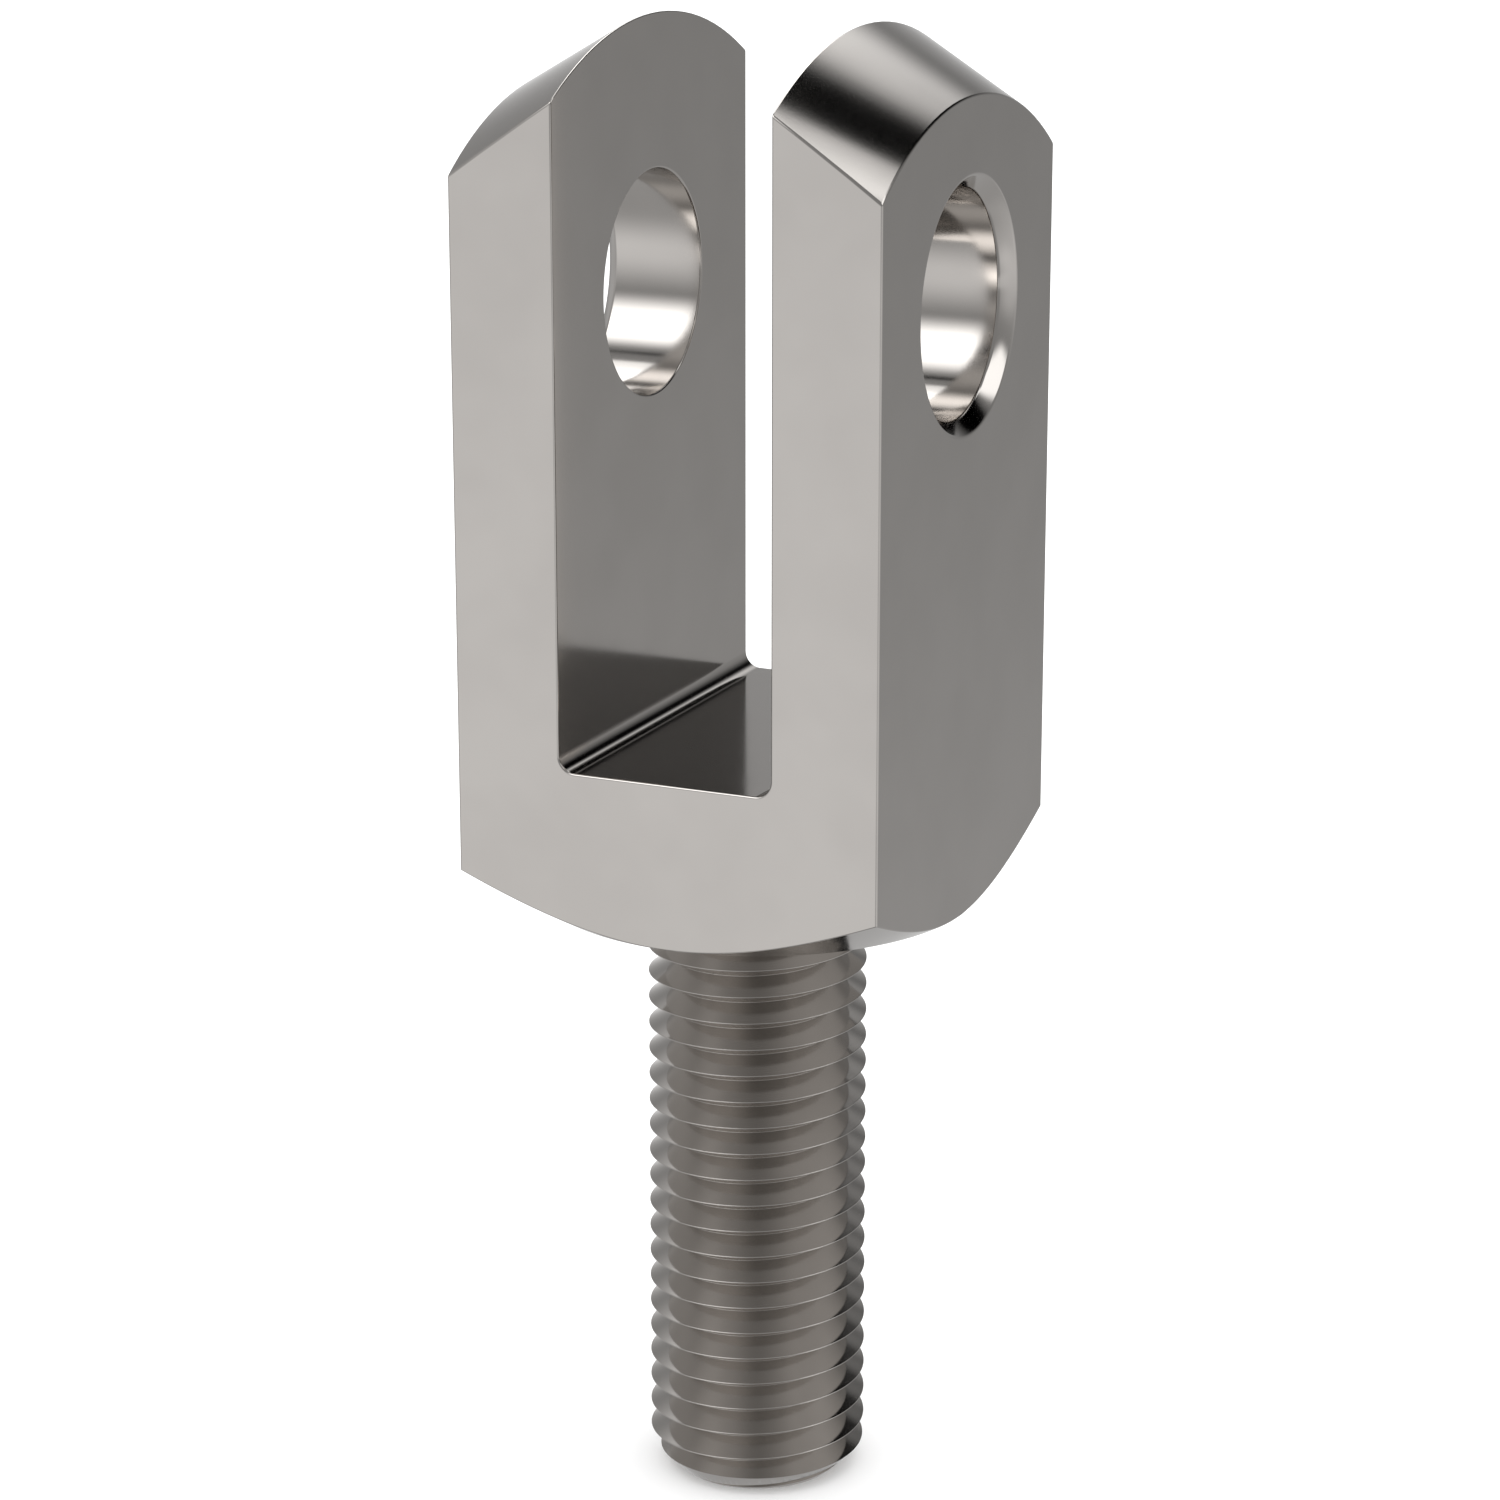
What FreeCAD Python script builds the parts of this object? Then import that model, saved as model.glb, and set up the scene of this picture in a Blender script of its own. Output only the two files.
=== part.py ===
import FreeCAD, Part
import math
import os

from FreeCAD import Vector

# Tension rod clevis: a square steel bar, slotted and cross-bored for a pin, with a threaded stud.
# Frame: +Z up, millimetres. The origin is the middle of the pin bore: the pin lies along X,
# the slot runs through along Y and the stud hangs down along -Z.

# Body: a square bar
body_width = 40.0
pin_above_shoulder = 55.0
shoulder_clear = 0.1
shoulder_angle = 30.0

# Slot between the two cheeks
slot_width = 20.2
slot_depth_below_pin = 40.0
slot_corner_radius = 1.5

# Pin bore through both cheeks
pin_diameter = 20.0
pin_clearance = 0.1
bore_chamfer = 1.25

# Crown: the top is turned to a cone about an axis parallel to the pin
crown_radius_outside = 33.9
crown_axis_below_pin = 15.85
crown_angle = 30.0

# Threaded stud
thread_diameter = 20.0
thread_pitch = 2.5
thread_depth_ratio = 0.6134
thread_crest_ratio = 0.125
thread_flank_angle = 30.0
thread_start_azimuth = -20.0
stud_length = 56.3
stud_end_chamfer = 2.4

# Working values, all from the sizes above
half_width = body_width / 2.0
corner_radius = half_width * math.sqrt(2.0)
shoulder_radius = half_width - shoulder_clear
shoulder_slope = math.tan(math.radians(shoulder_angle))
crown_slope = math.tan(math.radians(crown_angle))
bore_radius = (pin_diameter + pin_clearance) / 2.0
thread_radius = thread_diameter / 2.0
thread_depth = thread_pitch * thread_depth_ratio
shoulder_z = -pin_above_shoulder
slot_floor_z = -slot_depth_below_pin
stud_end_z = shoulder_z - stud_length
crown_radius_middle = crown_radius_outside + half_width * crown_slope
# How far a cutting tool runs past the face that it cuts
overrun = 5.0


def revolved(profile, centre, axis):
    """Turn a closed profile of points once round an axis and return the solid."""
    face = Part.Face(Part.makePolygon(profile + profile[:1]))
    return face.revolve(centre, axis, 360.0)


def bar_blank():
    """Square bar from the shoulder to above the crown."""
    top_z = crown_radius_middle - crown_axis_below_pin + overrun
    corner = Vector(-half_width, -half_width, shoulder_z)
    return Part.makeBox(body_width, body_width, top_z - shoulder_z, corner)


def shoulder_envelope():
    """Solid of revolution about Z that bevels the four lower corners of the bar."""
    wide = corner_radius + overrun
    top_z = crown_radius_middle + overrun
    rise = (wide - shoulder_radius) * shoulder_slope
    profile = [
        Vector(0, 0, shoulder_z),
        Vector(shoulder_radius, 0, shoulder_z),
        Vector(wide, 0, shoulder_z + rise),
        Vector(wide, 0, top_z),
        Vector(0, 0, top_z),
    ]
    return revolved(profile, Vector(0, 0, 0), Vector(0, 0, 1))


def crown_envelope():
    """Double cone about the crown axis, widest in the middle, that rounds the tops of the cheeks.

    It is kept above its axis and joined to a block below, so that it shapes the top alone.
    """
    centre = Vector(0, 0, -crown_axis_below_pin)
    profile = [
        centre + Vector(-half_width - overrun, 0, 0),
        centre + Vector(-half_width - overrun, 0, crown_radius_outside - overrun * crown_slope),
        centre + Vector(0, 0, crown_radius_middle),
        centre + Vector(half_width + overrun, 0, crown_radius_outside - overrun * crown_slope),
        centre + Vector(half_width + overrun, 0, 0),
    ]
    cone = revolved(profile, centre, Vector(1, 0, 0))
    reach = half_width + overrun
    drop = pin_above_shoulder + overrun
    block = Part.makeBox(2 * reach, 2 * reach, drop, Vector(-reach, -reach, centre.z - drop))
    return cone.fuse(block)


def slot_cutter():
    """Straight slot through the bar along Y, with rounded corners at its floor."""
    half_slot = slot_width / 2.0
    top_z = crown_radius_middle + overrun
    radius = slot_corner_radius
    low = slot_floor_z
    bend = radius * (1.0 - math.sqrt(0.5))
    near = -half_width - overrun
    left_up = Vector(-half_slot, near, top_z)
    left_low = Vector(-half_slot, near, low + radius)
    left_mid = Vector(-half_slot + bend, near, low + bend)
    floor_left = Vector(-half_slot + radius, near, low)
    floor_right = Vector(half_slot - radius, near, low)
    right_mid = Vector(half_slot - bend, near, low + bend)
    right_low = Vector(half_slot, near, low + radius)
    right_up = Vector(half_slot, near, top_z)
    outline = Part.Wire([
        Part.makeLine(left_up, left_low),
        Part.Arc(left_low, left_mid, floor_left).toShape(),
        Part.makeLine(floor_left, floor_right),
        Part.Arc(floor_right, right_mid, right_low).toShape(),
        Part.makeLine(right_low, right_up),
        Part.makeLine(right_up, left_up),
    ])
    return Part.Face(outline).extrude(Vector(0, body_width + 2 * overrun, 0))


def bore_cutter():
    """Pin bore through both cheeks, opened by a 45 degree chamfer at each outer face."""
    mouth = bore_radius + bore_chamfer + overrun
    profile = [
        Vector(-half_width - overrun, 0, 0),
        Vector(-half_width - overrun, 0, mouth),
        Vector(-half_width + bore_chamfer, 0, bore_radius),
        Vector(half_width - bore_chamfer, 0, bore_radius),
        Vector(half_width + overrun, 0, mouth),
        Vector(half_width + overrun, 0, 0),
    ]
    return revolved(profile, Vector(0, 0, 0), Vector(1, 0, 0))


def thread_groove():
    """Helical groove of a right-hand 60 degree thread, longer than the stud at both ends."""
    turns = math.ceil((stud_length + 2 * overrun) / thread_pitch) + 1
    height = turns * thread_pitch
    start_z = stud_end_z - overrun
    root = thread_radius - thread_depth
    flank_slope = math.tan(math.radians(thread_flank_angle))
    half_mouth = thread_pitch * (1.0 - thread_crest_ratio) / 2.0
    half_crest = thread_pitch * thread_crest_ratio / 2.0
    # The flanks run on past the crest by half of what would let neighbouring turns meet
    past = half_crest / flank_slope / 2.0
    half_root = half_mouth - thread_depth * flank_slope
    half_open = half_mouth + past * flank_slope
    outline = Part.makePolygon([
        Vector(root, 0, -half_root),
        Vector(thread_radius + past, 0, -half_open),
        Vector(thread_radius + past, 0, half_open),
        Vector(root, 0, half_root),
        Vector(root, 0, -half_root),
    ])
    path = Part.Wire(Part.makeHelix(thread_pitch, height, thread_radius).Edges)
    groove = path.makePipeShell([outline], True, True)
    # The crest meets the shoulder at the start azimuth, counted from -Y towards +X,
    # and the middle of the groove lies half a pitch from the crest.
    crest_turn = (start_z + thread_pitch / 2.0 - shoulder_z) / thread_pitch
    azimuth = thread_start_azimuth - 90.0 + 360.0 * crest_turn
    groove.rotate(Vector(0, 0, 0), Vector(0, 0, 1), azimuth)
    groove.translate(Vector(0, 0, start_z))
    return groove


def stud():
    """Threaded stud with a chamfered end; it starts inside the body so that the two fuse.

    Its upper end lies halfway between the shoulder and the floor of the slot.
    """
    root_z = (slot_floor_z + shoulder_z) / 2.0
    profile = [
        Vector(0, 0, root_z),
        Vector(thread_radius, 0, root_z),
        Vector(thread_radius, 0, stud_end_z + stud_end_chamfer),
        Vector(thread_radius - stud_end_chamfer, 0, stud_end_z),
        Vector(0, 0, stud_end_z),
    ]
    blank = revolved(profile, Vector(0, 0, 0), Vector(0, 0, 1))
    return blank.cut(thread_groove())


def clevis():
    """The whole clevis as one solid."""
    body = bar_blank().common(shoulder_envelope()).common(crown_envelope())
    body = body.cut(slot_cutter()).cut(bore_cutter())
    return body.fuse(stud()).removeSplitter()


os.makedirs("parts", exist_ok=True)
part = clevis()
print("valid", part.isValid(), "solids", len(part.Solids), "volume", round(part.Volume, 1))
print("box", part.BoundBox)
part.exportStep("parts/clevis.step")
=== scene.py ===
"""Visual model of a tension rod clevis: a square steel fork with a pin bore and a threaded stud.

Everything is in metres in the part's own frame: the pin bore lies along X through the origin, the
slot runs through along Y and the stud hangs down along -Z.
"""
import logging
import math
from dataclasses import dataclass, field
from enum import Enum
from typing import Any, Sequence

import bmesh
import bpy
from mathutils import Matrix, Vector

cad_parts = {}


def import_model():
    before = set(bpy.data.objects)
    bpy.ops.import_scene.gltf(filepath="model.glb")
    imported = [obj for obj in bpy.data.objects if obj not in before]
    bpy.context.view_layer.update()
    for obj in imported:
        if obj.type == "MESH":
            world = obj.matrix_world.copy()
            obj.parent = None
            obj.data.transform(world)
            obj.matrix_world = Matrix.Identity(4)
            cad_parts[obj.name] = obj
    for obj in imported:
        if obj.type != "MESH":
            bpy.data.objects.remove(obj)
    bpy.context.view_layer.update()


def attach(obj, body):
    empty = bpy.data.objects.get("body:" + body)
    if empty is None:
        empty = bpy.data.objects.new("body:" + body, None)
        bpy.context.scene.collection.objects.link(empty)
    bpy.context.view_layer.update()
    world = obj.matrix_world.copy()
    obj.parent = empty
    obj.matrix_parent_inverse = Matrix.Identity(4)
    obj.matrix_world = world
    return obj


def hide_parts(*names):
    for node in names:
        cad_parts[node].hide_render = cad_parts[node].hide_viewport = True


LOG = logging.getLogger("clevis")
MM = 0.001
BODY = "root"
CAD_NODE = "clevis"
# Heights that more than one class needs: the underside of the fork and the end of the stud
SHOULDER_Z = -55.0 * MM
STUD_END_Z = -111.3 * MM
# Points nearer together than this count as one point
SAME_POINT = 1e-7
# Points nearer to a cutting plane than this lie on it
ON_PLANE = 1e-8
X_AXIS = Vector((1.0, 0.0, 0.0))
Z_AXIS = Vector((0.0, 0.0, 1.0))


def linear_from_hex(code: str) -> tuple[float, float, float, float]:
    """Turn an sRGB hex colour to linear values.

    Args:
        code: six hex digits, red first.

    Returns:
        Linear red, green and blue, and an alpha of one.
    """
    channels = []
    for start in (0, 2, 4):
        value = int(code[start:start + 2], 16) / 255.0
        channels.append(value / 12.92 if value <= 0.04045 else ((value + 0.055) / 1.055) ** 2.4)
    return channels[0], channels[1], channels[2], 1.0


def add_node(
    tree: bpy.types.NodeTree,
    kind: str,
    settings: dict[str, Any] | None = None,
    values: dict[Any, Any] | None = None,
    links: dict[Any, bpy.types.NodeSocket] | None = None,
) -> bpy.types.Node:
    """Add one node to a tree.

    Args:
        tree: the tree that gets the node.
        kind: the node's type name.
        settings: properties of the node itself.
        values: input sockets by name or number, with the value of each.
        links: input sockets by name or number, with the output socket that feeds each.

    Returns:
        The new node.
    """
    node = tree.nodes.new(kind)
    for name, value in (settings or {}).items():
        setattr(node, name, value)
    for socket, value in (values or {}).items():
        node.inputs[socket].default_value = value
    for socket, source in (links or {}).items():
        tree.links.new(source, node.inputs[socket])
    return node


def math_node(
    tree: bpy.types.NodeTree,
    operation: str,
    values: dict[int, float] | None = None,
    links: dict[int, bpy.types.NodeSocket] | None = None,
) -> bpy.types.NodeSocket:
    """Add one Math node.

    Args:
        tree: the tree that gets the node.
        operation: what the node works out.
        values: inputs by number, with the value of each.
        links: inputs by number, with the socket that feeds each.

    Returns:
        The socket with the result.
    """
    return add_node(tree, "ShaderNodeMath", {"operation": operation}, values, links).outputs[0]


def add_object(name: str, mesh: bpy.types.Mesh) -> bpy.types.Object:
    """Put a mesh into the scene.

    Args:
        name: the object's name.
        mesh: its mesh.

    Returns:
        The object, at the origin and unturned.
    """
    made = bpy.data.objects.new(name, mesh)
    bpy.context.scene.collection.objects.link(made)
    return made


def mesh_from(bm: bmesh.types.BMesh, name: str) -> bpy.types.Mesh:
    """Write a bmesh to a new mesh with its faces turned outwards, and free it.

    Args:
        bm: the shape, which is closed.
        name: the mesh's name.

    Returns:
        The mesh.
    """
    bmesh.ops.recalc_face_normals(bm, faces=bm.faces)
    mesh = bpy.data.meshes.new(name)
    bm.to_mesh(mesh)
    bm.free()
    return mesh


def everything(bm: bmesh.types.BMesh) -> list[Any]:
    """All vertices, edges and faces of a bmesh."""
    return bm.verts[:] + bm.edges[:] + bm.faces[:]


def block(half_x: float, half_y: float, low: float, high: float) -> bmesh.types.BMesh:
    """Make a block about the Z axis.

    Args:
        half_x: half its size along X.
        half_y: half its size along Y.
        low: height of its underside.
        high: height of its top.

    Returns:
        The block as a bmesh.
    """
    bm = bmesh.new()
    bmesh.ops.create_cube(bm, size=1.0)
    bmesh.ops.scale(bm, vec=Vector((2 * half_x, 2 * half_y, high - low)), verts=bm.verts)
    bmesh.ops.translate(bm, vec=Z_AXIS * (high + low) / 2, verts=bm.verts)
    return bm


class Joining(Enum):
    """Ways in which one solid can shape another."""

    CUT = "DIFFERENCE"
    KEEP_COMMON = "INTERSECT"
    ADD = "UNION"


def shaped(blank: bpy.types.Mesh, tool: bpy.types.Mesh, joining: Joining) -> bpy.types.Mesh:
    """Shape one closed mesh by another.

    Args:
        blank: the mesh that is shaped.
        tool: the mesh that shapes it.
        joining: what is done with the two.

    Returns:
        The shaped mesh. Both inputs are removed.
    """
    base = add_object("blank", blank)
    other = add_object("tool", tool)
    modifier = base.modifiers.new("shape", "BOOLEAN")
    modifier.operation = joining.value
    modifier.solver = "MANIFOLD"
    modifier.object = other
    bpy.context.view_layer.update()
    graph = bpy.context.evaluated_depsgraph_get()
    result = bpy.data.meshes.new_from_object(base.evaluated_get(graph))
    for obj in (base, other):
        bpy.data.objects.remove(obj)
    for mesh in (blank, tool):
        bpy.data.meshes.remove(mesh)
    return result


def spun(points: Sequence[Vector], axis: Vector, steps: int, name: str) -> bpy.types.Mesh:
    """Spin an open line of points right round an axis through the origin and close its ends.

    Args:
        points: the line, none of it on the axis.
        axis: direction of the axis.
        steps: how many steps make the full turn.
        name: the mesh's name.

    Returns:
        A closed mesh.
    """
    bm = bmesh.new()
    verts = [bm.verts.new(p) for p in points]
    edges = [bm.edges.new(pair) for pair in zip(verts, verts[1:])]
    bmesh.ops.spin(
        bm, geom=verts + edges, cent=Vector(), axis=axis, angle=math.tau, steps=steps, use_merge=True
    )
    bmesh.ops.remove_doubles(bm, verts=bm.verts, dist=SAME_POINT)
    bmesh.ops.holes_fill(bm, edges=bm.edges, sides=0)
    return mesh_from(bm, name)


def rounded(
    corners: Sequence[tuple[float, float, float]], steps: int = 3
) -> list[tuple[float, float]]:
    """Round the corners of a line in a plane.

    Args:
        corners: each corner's two coordinates and how much its rounding takes off each side.
        steps: how many pieces make each rounding.

    Returns:
        The points of the rounded line.
    """
    points: list[tuple[float, float]] = []
    for number, (a, b, cut) in enumerate(corners):
        if cut == 0.0:
            points.append((a, b))
            continue
        here = Vector((a, b))
        before = (Vector(corners[number - 1][:2]) - here).normalized() * cut + here
        after = (Vector(corners[number + 1][:2]) - here).normalized() * cut + here
        for step in range(steps + 1):
            t = step / steps
            p = before * (1 - t) ** 2 + here * 2 * t * (1 - t) + after * t ** 2
            points.append((p.x, p.y))
    return points


@dataclass
class ForkBody:
    """Square bar with a rounded crown, a slot, a cross bore and bevelled lower corners.

    The number of crown steps keeps the ends of its facets well away from the cheeks' corners,
    where short edges would fold over when they are rounded.
    """

    half_width: float = 20.0 * MM
    shoulder_z: float = SHOULDER_Z
    shoulder_radius: float = 19.9 * MM
    shoulder_angle: float = 30.0
    slot_half: float = 10.1 * MM
    slot_floor_z: float = -40.0 * MM
    slot_corner: float = 1.5 * MM
    bore_radius: float = 10.05 * MM
    bore_chamfer: float = 1.25 * MM
    crown_radius: float = 33.9 * MM
    crown_axis_z: float = -15.85 * MM
    crown_angle: float = 30.0
    spare: float = 5.0 * MM
    round_steps: int = 320
    crown_steps: int = 74
    slot_steps: int = 12

    def clear_top(self) -> float:
        """Height well above the crown, where the cutting tools end."""
        return self.crown_axis_z + self.crown_radius + 2 * self.half_width

    def bar(self) -> bpy.types.Mesh:
        """Square bar from the shoulder to above the crown."""
        top = self.crown_axis_z + self.crown_radius + self.half_width
        return mesh_from(block(self.half_width, self.half_width, self.shoulder_z, top), "bar")

    def shoulder_cone(self) -> bpy.types.Mesh:
        """Make the cone about Z that bevels the four lower corners.

        Returns:
            The cone, wider upwards and higher than the bar.
        """
        top = self.clear_top()
        height = top - self.shoulder_z
        wide = self.shoulder_radius + height / math.tan(math.radians(self.shoulder_angle))
        bm = bmesh.new()
        bmesh.ops.create_cone(
            bm, cap_ends=True, segments=self.round_steps, radius1=self.shoulder_radius,
            radius2=wide, depth=height,
        )
        bmesh.ops.translate(bm, vec=Z_AXIS * (top + self.shoulder_z) / 2, verts=bm.verts)
        return mesh_from(bm, "shoulder_cone")

    def crown_ring(self) -> bpy.types.Mesh:
        """Make what is turned off the top of the bar.

        Returns:
            Half a ring about an axis along X. Its inner side is two cones that meet in the middle
            of the slot.
        """
        slope = math.tan(math.radians(self.crown_angle))
        reach = self.half_width + self.spare
        low = self.crown_radius - self.spare * slope
        high = self.crown_radius + self.half_width * slope
        outer = self.crown_radius + 2 * self.half_width
        section = [(-reach, low), (0.0, high), (reach, low), (reach, outer), (-reach, outer)]
        bm = bmesh.new()
        verts = [bm.verts.new((x, -r, self.crown_axis_z)) for x, r in section]
        face = bm.faces.new(verts)
        bmesh.ops.spin(
            bm, geom=verts + list(face.edges) + [face], cent=Z_AXIS * self.crown_axis_z,
            axis=-X_AXIS, angle=math.pi, steps=self.crown_steps,
        )
        bmesh.ops.remove_doubles(bm, verts=bm.verts, dist=SAME_POINT)
        return mesh_from(bm, "crown_ring")

    def slot_block(self) -> bpy.types.Mesh:
        """Make the block that cuts the slot along Y.

        Returns:
            The block, with its two lower edges rounded.
        """
        reach = self.half_width + self.spare
        bm = block(self.slot_half, reach, self.slot_floor_z, self.clear_top())
        lower = [
            e for e in bm.edges
            if all(v.co.z < 0.0 for v in e.verts)
            and abs(e.verts[0].co.y - e.verts[1].co.y) > self.spare
        ]
        bmesh.ops.bevel(
            bm, geom=lower, offset=self.slot_corner, affect="EDGES", segments=self.slot_steps,
            profile=0.5, material=-1,
        )
        return mesh_from(bm, "slot_block")

    def bore_tool(self) -> bpy.types.Mesh:
        """Make the bar along X that cuts the bore and its chamfers.

        Returns:
            A closed mesh that flares past each outer face.
        """
        reach = self.half_width + self.spare
        face = self.half_width - self.bore_chamfer
        mouth = self.bore_radius + self.bore_chamfer + self.spare
        line = [
            (-reach, mouth), (-face, self.bore_radius), (face, self.bore_radius), (reach, mouth)
        ]
        points = [Vector((x, 0.0, r)) for x, r in line]
        return spun(points, X_AXIS, self.round_steps, "bore_tool")

    def split_at_pin(self, mesh: bpy.types.Mesh) -> None:
        """Split the cheeks' faces at the pin's height, so that the bore leaves no hole in a face.

        Args:
            mesh: the slotted bar, which is changed.
        """
        bm = bmesh.new()
        bm.from_mesh(mesh)
        bmesh.ops.bisect_plane(
            bm, geom=everything(bm), dist=ON_PLANE, plane_co=Vector(), plane_no=Z_AXIS
        )
        bm.to_mesh(mesh)
        bm.free()

    def build(self) -> bpy.types.Mesh:
        """Shape the whole fork.

        Returns:
            The fork, still with sharp edges.
        """
        mesh = shaped(self.bar(), self.shoulder_cone(), Joining.KEEP_COMMON)
        mesh = shaped(mesh, self.crown_ring(), Joining.CUT)
        mesh = shaped(mesh, self.slot_block(), Joining.CUT)
        self.split_at_pin(mesh)
        return shaped(mesh, self.bore_tool(), Joining.CUT)


@dataclass
class ThreadedStud:
    """Stud with a sharp right-hand thread and a chamfered end."""

    radius: float = 10.0 * MM
    pitch: float = 2.5 * MM
    crest_ratio: float = 0.03
    root_flat: float = 0.02 * MM
    flank_angle: float = 27.2
    start_azimuth: float = -20.0
    shoulder_z: float = SHOULDER_Z
    end_z: float = STUD_END_Z
    end_chamfer: float = 2.4 * MM
    buried: float = 3.0 * MM
    steps_a_turn: int = 96
    crest_round: float = 0.03 * MM
    turn_weld: float = 1e-6

    def profile(self) -> list[Vector]:
        """Draw one pitch of the thread's outline in the XZ plane.

        Returns:
            The outline's points, from the middle of one root up to the next.
        """
        slope = math.tan(math.radians(self.flank_angle))
        half_crest = self.pitch * self.crest_ratio / 2
        half_root = self.root_flat / 2
        root = self.radius - (self.pitch / 2 - half_crest - half_root) / slope
        corners = [
            (root, 0.0, 0.0),
            (root, half_root, 0.0),
            (self.radius, self.pitch / 2 - half_crest, self.crest_round),
            (self.radius, self.pitch / 2 + half_crest, self.crest_round),
            (root, self.pitch - half_root, 0.0),
            (root, self.pitch, 0.0),
        ]
        return [Vector((r, 0.0, z)) for r, z in rounded(corners)]

    def thread(self) -> bpy.types.Mesh:
        """Make the threaded rod, longer than the stud at both ends.

        One turn is spun and then copied upwards, which is quicker than one long spin.

        Returns:
            A mesh closed by two flat cuts.
        """
        low = self.end_z - 2 * self.pitch
        high = self.shoulder_z + self.buried
        turns = math.ceil((high - low) / self.pitch) + 2
        bm = bmesh.new()
        verts = [bm.verts.new(p) for p in self.profile()]
        edges = [bm.edges.new(pair) for pair in zip(verts, verts[1:])]
        bmesh.ops.spin(
            bm, geom=verts + edges, cent=Vector(), axis=Z_AXIS, angle=math.tau,
            dvec=Z_AXIS * self.pitch / self.steps_a_turn, steps=self.steps_a_turn,
        )
        one_turn = everything(bm)
        for turn in range(1, turns):
            copy = bmesh.ops.duplicate(bm, geom=one_turn)["geom"]
            moved = [item for item in copy if isinstance(item, bmesh.types.BMVert)]
            bmesh.ops.translate(bm, vec=Z_AXIS * self.pitch * turn, verts=moved)
        bmesh.ops.remove_doubles(bm, verts=bm.verts, dist=self.turn_weld)
        start_z = low - self.pitch
        # The crest meets the shoulder at the start azimuth, counted from -Y towards +X
        crest_turn = (start_z + self.pitch / 2 - self.shoulder_z) / self.pitch
        azimuth = math.radians(self.start_azimuth - 90.0) + math.tau * crest_turn
        bmesh.ops.rotate(
            bm, cent=Vector(), matrix=Matrix.Rotation(azimuth, 3, "Z"), verts=bm.verts
        )
        bmesh.ops.translate(bm, vec=Z_AXIS * start_z, verts=bm.verts)
        for level, outwards in ((low, -Z_AXIS), (high, Z_AXIS)):
            bmesh.ops.bisect_plane(
                bm, geom=everything(bm), dist=ON_PLANE, clear_outer=True,
                plane_co=Z_AXIS * level, plane_no=outwards,
            )
        bmesh.ops.holes_fill(bm, edges=bm.edges, sides=0)
        return mesh_from(bm, "thread")

    def envelope(self) -> bpy.types.Mesh:
        """Make a rod a little wider than the thread, with the stud's end face and chamfer.

        Returns:
            The closed rod.
        """
        spare = self.buried
        line = [
            (self.radius - self.end_chamfer, self.end_z),
            (self.radius + spare, self.end_z + self.end_chamfer + spare),
            (self.radius + spare, self.shoulder_z + 2 * spare),
        ]
        points = [Vector((r, 0.0, z)) for r, z in line]
        return spun(points, Z_AXIS, 2 * self.steps_a_turn, "envelope")

    def build(self) -> bpy.types.Mesh:
        """The stud, with its upper end buried in the fork."""
        return shaped(self.thread(), self.envelope(), Joining.KEEP_COMMON)


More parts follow.
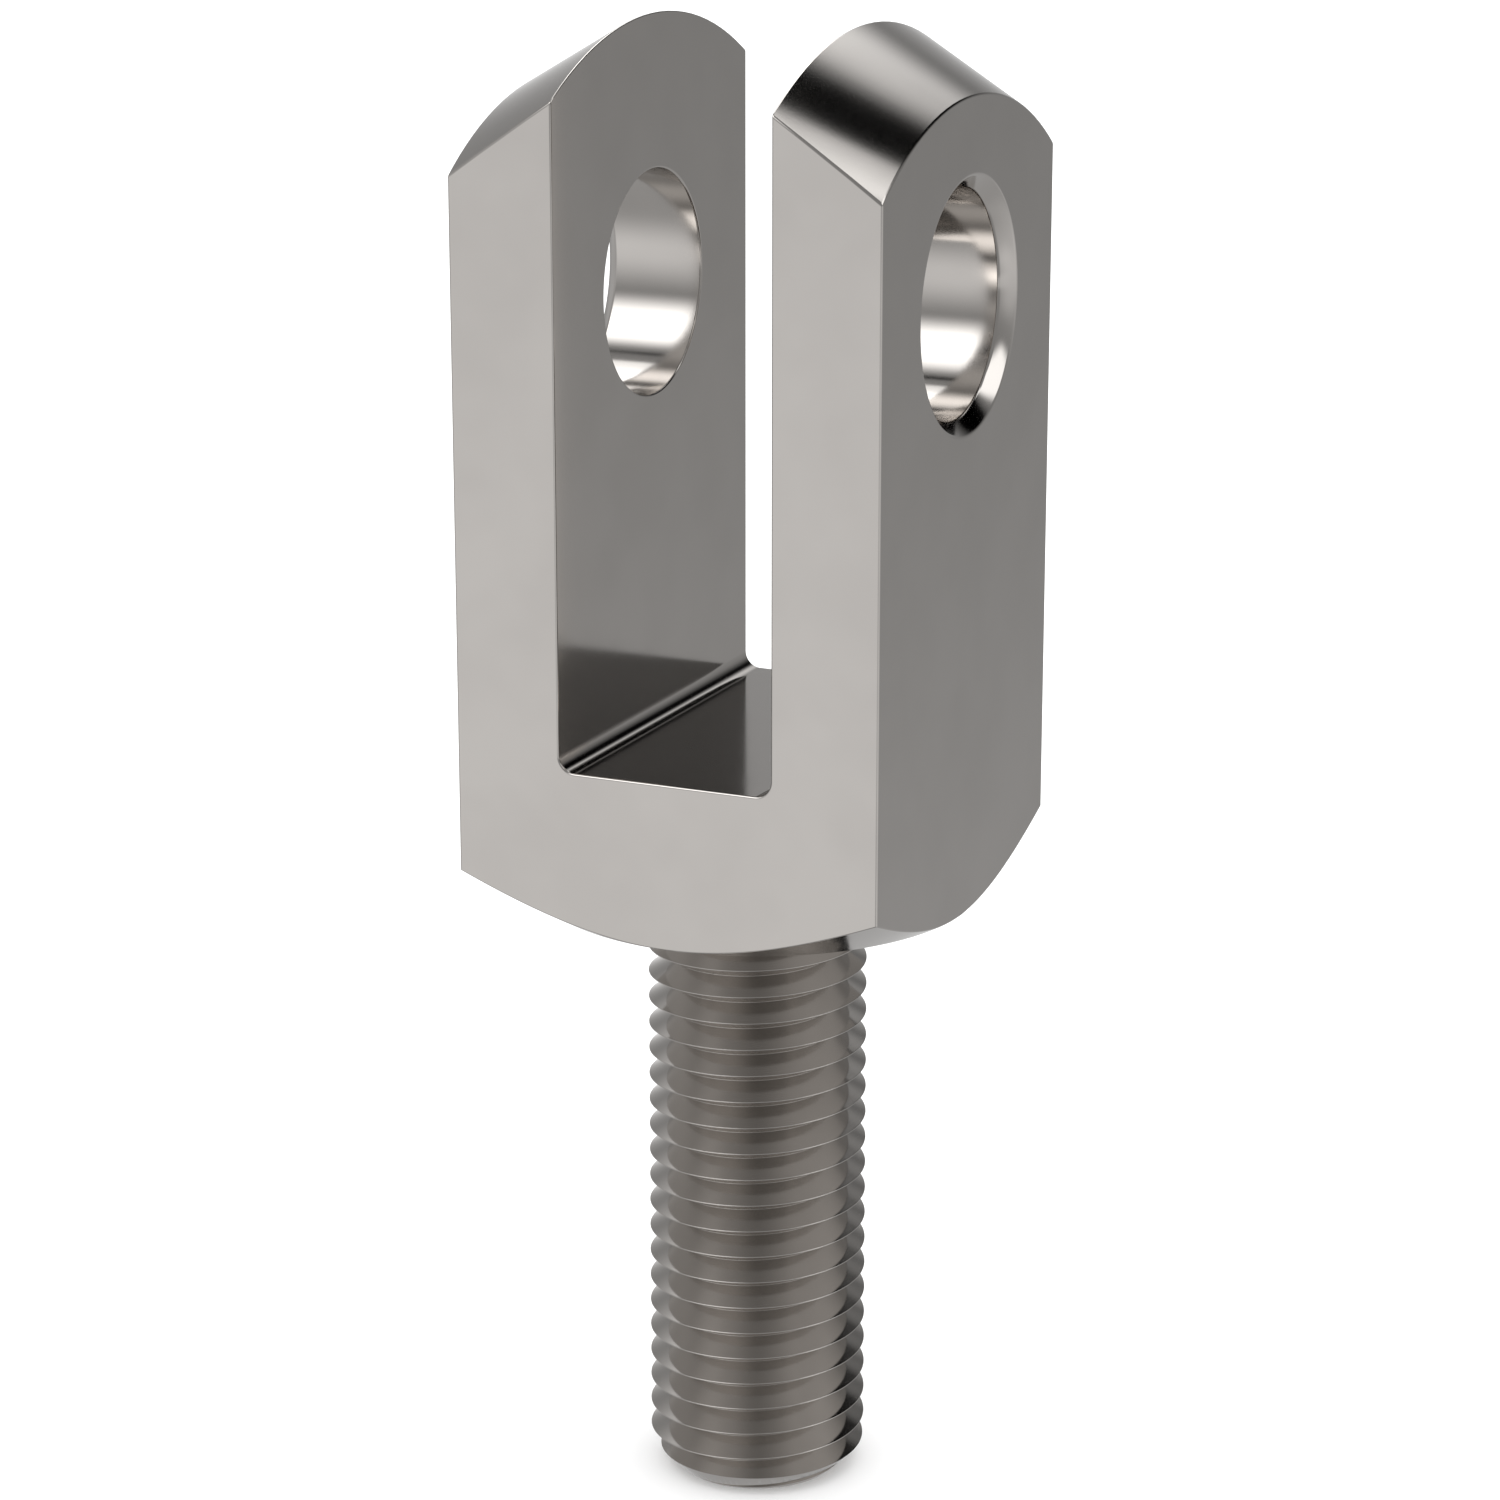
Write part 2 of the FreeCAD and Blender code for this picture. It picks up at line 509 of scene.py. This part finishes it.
@dataclass(frozen=True)
class GroundSteel:
    """Fine-ground bright steel: a satin mirror, slightly warm, with no coating."""

    pale: str = "C5C1BD"
    dark: str = "C1BDB9"
    smoothest: float = 0.11
    roughest: float = 0.13
    noise_detail: float = 2.0
    noise_fade: float = 0.5
    cloud_low: float = 0.35
    cloud_high: float = 0.65
    cloud_size: float = 9.0 * MM
    mark_width: float = 0.3 * MM
    mark_length: float = 9.0 * MM
    turned_width: float = 0.12 * MM
    mark_depth: float = 0.0012 * MM
    mark_strength: float = 0.5
    shoulder_z: float = SHOULDER_Z

    def noise(
        self, tree: bpy.types.NodeTree, place: bpy.types.NodeSocket, size: Vector
    ) -> bpy.types.NodeSocket:
        """Add noise of a real size.

        Args:
            tree: the material's node tree.
            place: the socket with the object's own coordinates.
            size: how large one patch of the noise is along each axis, in metres.

        Returns:
            The socket that carries the noise.
        """
        scale = [1.0 / length for length in size]
        fitted = add_node(
            tree, "ShaderNodeMapping", values={"Scale": scale}, links={"Vector": place}
        )
        texture = add_node(
            tree, "ShaderNodeTexNoise",
            values={"Scale": 1.0, "Detail": self.noise_detail, "Roughness": self.noise_fade},
            links={"Vector": fitted.outputs[0]},
        )
        return texture.outputs["Fac"]

    def relief(
        self, tree: bpy.types.NodeTree, place: bpy.types.NodeSocket
    ) -> bpy.types.NodeSocket:
        """Add the tool marks: along the bar where it was ground, round the stud where turned.

        Args:
            tree: the material's node tree.
            place: the socket with the object's own coordinates.

        Returns:
            The socket that carries the bumped normal.
        """
        width, length = self.mark_width, self.mark_length
        ground = self.noise(tree, place, Vector((width, width, length)))
        turned = self.noise(tree, place, Vector((length, length, self.turned_width)))
        axes = add_node(tree, "ShaderNodeSeparateXYZ", links={0: place})
        on_bar = math_node(tree, "GREATER_THAN", {1: self.shoulder_z}, {0: axes.outputs["Z"]})
        marks = add_node(
            tree, "ShaderNodeMix", links={"Factor": on_bar, "A": turned, "B": ground}
        )
        bump = add_node(
            tree, "ShaderNodeBump",
            values={"Strength": self.mark_strength, "Distance": self.mark_depth},
            links={"Height": marks.outputs[0]},
        )
        return bump.outputs["Normal"]

    def material(self) -> bpy.types.Material:
        """Make the material.

        Soft clouds of tint and roughness a few millimetres wide keep the wide faces from looking
        painted. The shallow marks break up the edges of the reflections a little, as on real
        steel.

        Returns:
            The material.
        """
        made = bpy.data.materials.new("ground_steel")
        made.use_nodes = True
        tree = made.node_tree
        shader = tree.nodes["Principled BSDF"]
        shader.inputs["Metallic"].default_value = 1.0
        place = add_node(tree, "ShaderNodeTexCoord").outputs["Object"]
        clouds = self.noise(tree, place, Vector((1.0, 1.0, 1.0)) * self.cloud_size)
        tint = add_node(tree, "ShaderNodeValToRGB", links={"Fac": clouds})
        stops = ((self.cloud_low, self.dark), (self.cloud_high, self.pale))
        for stop, (position, code) in zip(tint.color_ramp.elements, stops):
            stop.position = position
            stop.color = linear_from_hex(code)
        satin = add_node(
            tree, "ShaderNodeMapRange",
            values={
                "From Min": self.cloud_low, "From Max": self.cloud_high,
                "To Min": self.roughest, "To Max": self.smoothest,
            },
            links={"Value": clouds},
        )
        tree.links.new(tint.outputs["Color"], shader.inputs["Base Color"])
        tree.links.new(satin.outputs["Result"], shader.inputs["Roughness"])
        tree.links.new(self.relief(tree, place), shader.inputs["Normal"])
        return made


@dataclass
class Clevis:
    """The finished clevis: fork and stud as one piece of steel.

    Its edges are broken by a fifth of a millimetre, which gives each the fine bright line that a
    real machined edge has. The shoulder's edges are broken less.
    """

    fork: ForkBody = field(default_factory=ForkBody)
    stud: ThreadedStud = field(default_factory=ThreadedStud)
    finish: GroundSteel = field(default_factory=GroundSteel)
    edge_round: float = 0.2 * MM
    edge_steps: int = 3
    shoulder_share: float = 0.45
    shoulder_reach: float = 7.0 * MM
    level_within: float = 1.0 * MM
    sharp_angle: float = 22.0
    clear_of_stud: float = 1.1
    end_turns: int = 3
    weight_layer: str = "bevel_weight_edge"

    def on_fork(self, place: Vector) -> bool:
        """Tell whether an edge belongs to the fork.

        Args:
            place: the edge's middle.

        Returns:
            Whether it lies above the slot's floor, or above the shoulder and clear of the stud.
        """
        if place.z > self.fork.slot_floor_z - self.level_within:
            return True
        clear = math.hypot(place.x, place.y) > self.stud.radius * self.clear_of_stud
        return clear and place.z > self.fork.shoulder_z - self.level_within

    def mark_edges(self, mesh: bpy.types.Mesh) -> None:
        """Say how far each edge of the fork is rounded, and which edges of the stud stay sharp.

        Args:
            mesh: the joined fork and stud, which is changed.
        """
        bm = bmesh.new()
        bm.from_mesh(mesh)
        bmesh.ops.remove_doubles(bm, verts=bm.verts, dist=2 * SAME_POINT)
        bmesh.ops.dissolve_degenerate(bm, dist=SAME_POINT, edges=bm.edges)
        layers = bm.edges.layers.float
        weights = layers.get(self.weight_layer) or layers.new(self.weight_layer)
        for edge in bm.edges:
            if len(edge.link_faces) != 2:
                continue
            angle = edge.calc_face_angle_signed(0.0)
            if abs(angle) < math.radians(self.sharp_angle):
                continue
            first, second = (v.co for v in edge.verts)
            middle = (first + second) / 2
            if self.on_fork(middle):
                level = abs(first.z - second.z) < self.level_within
                low = level and middle.z < self.fork.shoulder_z + self.shoulder_reach
                edge[weights] = self.shoulder_share if low else 1.0
            else:
                above_end = middle.z > self.stud.end_z + self.stud.pitch * self.end_turns
                edge.smooth = above_end and angle > 0.0
        for face in bm.faces:
            face.smooth = True
        bm.to_mesh(mesh)
        bm.free()

    def round_edges(self, piece: bpy.types.Object) -> None:
        """Round the marked edges and keep the wide faces' shading flat.

        Args:
            piece: the clevis, which gets the two modifiers.
        """
        bevel = piece.modifiers.new("edge_rounding", "BEVEL")
        bevel.limit_method = "WEIGHT"
        bevel.width = self.edge_round
        bevel.segments = self.edge_steps
        bevel.use_clamp_overlap = False
        bevel.face_strength_mode = "FSTR_ALL"
        normals = piece.modifiers.new("face_normals", "WEIGHTED_NORMAL")
        normals.weight = 50
        normals.keep_sharp = True
        normals.use_face_influence = True

    def build(self) -> bpy.types.Object:
        """Join fork and stud, round the edges and dress the piece.

        Returns:
            The piece.
        """
        mesh = shaped(self.fork.build(), self.stud.build(), Joining.ADD)
        mesh.name = "clevis_steel"
        self.mark_edges(mesh)
        piece = add_object("clevis_steel", mesh)
        self.round_edges(piece)
        mesh.materials.clear()
        mesh.materials.append(self.finish.material())
        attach(piece, BODY)
        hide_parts(CAD_NODE)
        return piece


@dataclass(frozen=True)
class Glow:
    """A soft card in the studio, as seen from the part: a light, or a dark flag if negative.

    All but the strength are in degrees. Azimuth 0 is -Y and 90 is +X.
    """

    azimuth: float
    elevation: float
    half_width: float
    half_height: float
    side_blur: float
    end_blur: float
    strength: float


# The lights give the crown and the bores their bright bands, and the flags the dark ones between.
# All rows but the last three were worked out by a separate program, fitted to one photograph.
CARDS = (
    Glow(321.1, 48.7, 28.5, 16.5, 16.1, 14.2, 2.62),
    Glow(211.8, 59, 32.6, 8.5, 3.8, 29.9, 2.04),
    Glow(126.8, 66.5, 15.1, 7.4, 7.2, 4.8, 1.34),
    Glow(141.7, 73.6, 15, 18.3, 9.2, 27.7, -0.82),
    Glow(199.8, 46.2, 24.4, 8.5, 13.4, 20.7, 3.98),
    Glow(337, -17.8, 26.4, 23.4, 21.5, 20.9, 0.59),
    Glow(70.8, -14.5, 8.2, 20.4, 7.4, 7.5, 0.16),
    Glow(207.9, -10.7, 14.5, 3.7, 16.1, 29.4, 1.25),
    Glow(82.8, -27.7, 31.2, 25.4, 29.9, 30, 0.39),
    Glow(275.5, -0, 37.5, 20, 7.1, 23, 0.25),
    Glow(30.8, -13.6, 31.6, 4.8, 15.1, 2.3, 0.32),
    Glow(161, 35.4, 23.3, 8.3, 15.4, 27, -0.83),
    Glow(114.1, -13.7, 33.9, 10.7, 9.5, 8.5, 0.18),
    Glow(269, 67.4, 3.6, 2, 5.2, 2.9, -0.92),
    Glow(213.6, -52.4, 110.8, 36.8, 17.8, 9.6, 0.14),
    Glow(156, 56, 9, 4, 8, 6, -0.2),
    Glow(154, 14, 12, 8, 10, 6, -0.03),
    Glow(98, 42, 21, 18, 6, 4, 1.5),
)


@dataclass
class Studio:
    """Pale floor, soft light all round and the camera."""

    floor_z: float = STUD_END_Z
    floor_half: float = 8.0
    paper: str = "F6F6F6"
    base: float = 0.317
    white: float = 1.6
    cards: tuple[Glow, ...] = CARDS
    mirror_bounces: int = 8
    azimuth: float = 24.131
    elevation: float = 15.856
    distance: float = 397.98 * MM
    anchor_z: float = -50.24 * MM
    shift_right: float = -0.706 * MM
    shift_up: float = 7.932 * MM
    lens: float = 105.02
    sensor: float = 36.0
    nearest: float = 0.01

    def paper_material(self) -> bpy.types.Material:
        """Make the floor's matt paper, which has no gloss, so that it stays plain from any side.

        Returns:
            The material.
        """
        made = bpy.data.materials.new("matt_white_paper")
        made.use_nodes = True
        shader = made.node_tree.nodes["Principled BSDF"]
        shader.inputs["Base Color"].default_value = linear_from_hex(self.paper)
        shader.inputs["Roughness"].default_value = 1.0
        shader.inputs["Specular IOR Level"].default_value = 0.0
        return made

    def floor(self) -> bpy.types.Object:
        """Lay the floor, which metal doesn't mirror.

        Returns:
            The floor.
        """
        bm = bmesh.new()
        bmesh.ops.create_grid(bm, x_segments=1, y_segments=1, size=self.floor_half)
        bmesh.ops.translate(bm, vec=Z_AXIS * self.floor_z, verts=bm.verts)
        mesh = bpy.data.meshes.new("floor")
        bm.to_mesh(mesh)
        bm.free()
        mesh.materials.append(self.paper_material())
        floor = add_object("floor", mesh)
        floor.visible_glossy = False
        return floor

    def band(
        self, tree: bpy.types.NodeTree, distance: bpy.types.NodeSocket, half: float, blur: float
    ) -> bpy.types.NodeSocket:
        """One inside a band of angles and nothing outside it, with a soft edge.

        Args:
            tree: the world's node tree.
            distance: signed angle from the middle of the band, in degrees.
            half: half the band's width.
            blur: half the width of its soft edge.

        Returns:
            The socket that carries the value.
        """
        ramp = add_node(
            tree, "ShaderNodeMapRange", {"interpolation_type": "SMOOTHSTEP"},
            {"From Min": half + blur, "From Max": half - blur},
            {"Value": math_node(tree, "ABSOLUTE", links={0: distance})},
        )
        return ramp.outputs["Result"]

    def card_shape(
        self,
        tree: bpy.types.NodeTree,
        card: Glow,
        azimuth: bpy.types.NodeSocket,
        elevation: bpy.types.NodeSocket,
    ) -> bpy.types.NodeSocket:
        """One on a card and nothing off it, with soft edges.

        Args:
            tree: the world's node tree.
            card: the card.
            azimuth: the socket with the ray's azimuth in degrees.
            elevation: the socket with its elevation in degrees.

        Returns:
            The socket that carries the value.
        """
        off = math_node(tree, "SUBTRACT", {1: card.azimuth}, {0: azimuth})
        side = math_node(tree, "WRAP", {1: 180.0, 2: -180.0}, {0: off})
        rise = math_node(tree, "SUBTRACT", {1: card.elevation}, {0: elevation})
        across = self.band(tree, side, card.half_width, card.side_blur)
        along = self.band(tree, rise, card.half_height, card.end_blur)
        return math_node(tree, "MULTIPLY", links={0: across, 1: along})

    def cards_level(self, tree: bpy.types.NodeTree) -> bpy.types.NodeSocket:
        """Add all cards to the base light.

        Args:
            tree: the world's node tree.

        Returns:
            The socket with the light's strength, which is never below nothing.
        """
        place = add_node(tree, "ShaderNodeTexCoord")
        axes = add_node(tree, "ShaderNodeSeparateXYZ", links={0: place.outputs["Generated"]})
        back = math_node(tree, "MULTIPLY", {1: -1.0}, {0: axes.outputs["Y"]})
        turn = math_node(tree, "ARCTAN2", links={0: axes.outputs["X"], 1: back})
        lift = math_node(tree, "ARCSINE", links={0: axes.outputs["Z"]})
        azimuth = math_node(tree, "DEGREES", links={0: turn})
        elevation = math_node(tree, "DEGREES", links={0: lift})
        level: bpy.types.NodeSocket | None = None
        for card in self.cards:
            links = {0: self.card_shape(tree, card, azimuth, elevation)}
            if level is not None:
                links[2] = level
            level = math_node(tree, "MULTIPLY_ADD", {1: card.strength, 2: self.base}, links)
        return math_node(tree, "MAXIMUM", {1: 0.0}, {0: level})

    def sky(self) -> None:
        """Light from all round: white to the camera and the floor, soft cards to the metal.

        The light comes from everywhere, so the renderer doesn't aim rays at parts of it.
        """
        world = bpy.data.worlds.new("studio")
        bpy.context.scene.world = world
        world.use_nodes = True
        world.cycles.sampling_method = "NONE"
        tree = world.node_tree
        tree.nodes.clear()
        plain = (1.0, 1.0, 1.0, 1.0)
        metal_light = add_node(
            tree, "ShaderNodeBackground", values={"Color": plain},
            links={"Strength": self.cards_level(tree)},
        )
        white = add_node(
            tree, "ShaderNodeBackground", values={"Color": plain, "Strength": self.white}
        )
        path = add_node(tree, "ShaderNodeLightPath")
        seen = add_node(
            tree, "ShaderNodeMixShader",
            links={
                0: path.outputs["Is Glossy Ray"], 1: white.outputs[0], 2: metal_light.outputs[0]
            },
        )
        add_node(tree, "ShaderNodeOutputWorld", links={"Surface": seen.outputs[0]})

    def camera(self) -> bpy.types.Object:
        """Set the camera at the photograph's viewing angle.

        Returns:
            The camera.
        """
        azimuth, elevation = math.radians(self.azimuth), math.radians(self.elevation)
        back = Vector((
            math.sin(azimuth) * math.cos(elevation),
            -math.cos(azimuth) * math.cos(elevation),
            math.sin(elevation),
        ))
        right = Vector((math.cos(azimuth), math.sin(azimuth), 0.0))
        up = back.cross(right)
        data = bpy.data.cameras.new("camera")
        data.lens = self.lens
        data.sensor_width = self.sensor
        data.clip_start = self.nearest
        camera = bpy.data.objects.new("camera", data)
        turn = Matrix((right, up, back)).transposed().to_4x4()
        place = Z_AXIS * self.anchor_z + right * self.shift_right + up * self.shift_up
        camera.matrix_world = Matrix.Translation(place + back * self.distance) @ turn
        bpy.context.scene.collection.objects.link(camera)
        bpy.context.scene.camera = camera
        return camera

    def build(self) -> None:
        """Set up floor, light and camera."""
        self.floor()
        self.sky()
        self.camera()
        bpy.context.scene.view_settings.view_transform = "Standard"
        bpy.context.scene.cycles.glossy_bounces = self.mirror_bounces


def main() -> None:
    """Build the clevis and the studio round it."""
    logging.basicConfig(level=logging.INFO, format="%(name)s: %(message)s")
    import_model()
    piece = Clevis().build()
    LOG.info("%s: %d faces", piece.name, len(piece.data.polygons))
    Studio().build()
    LOG.info("studio: floor, light and camera")


if __name__ == "__main__":
    main()
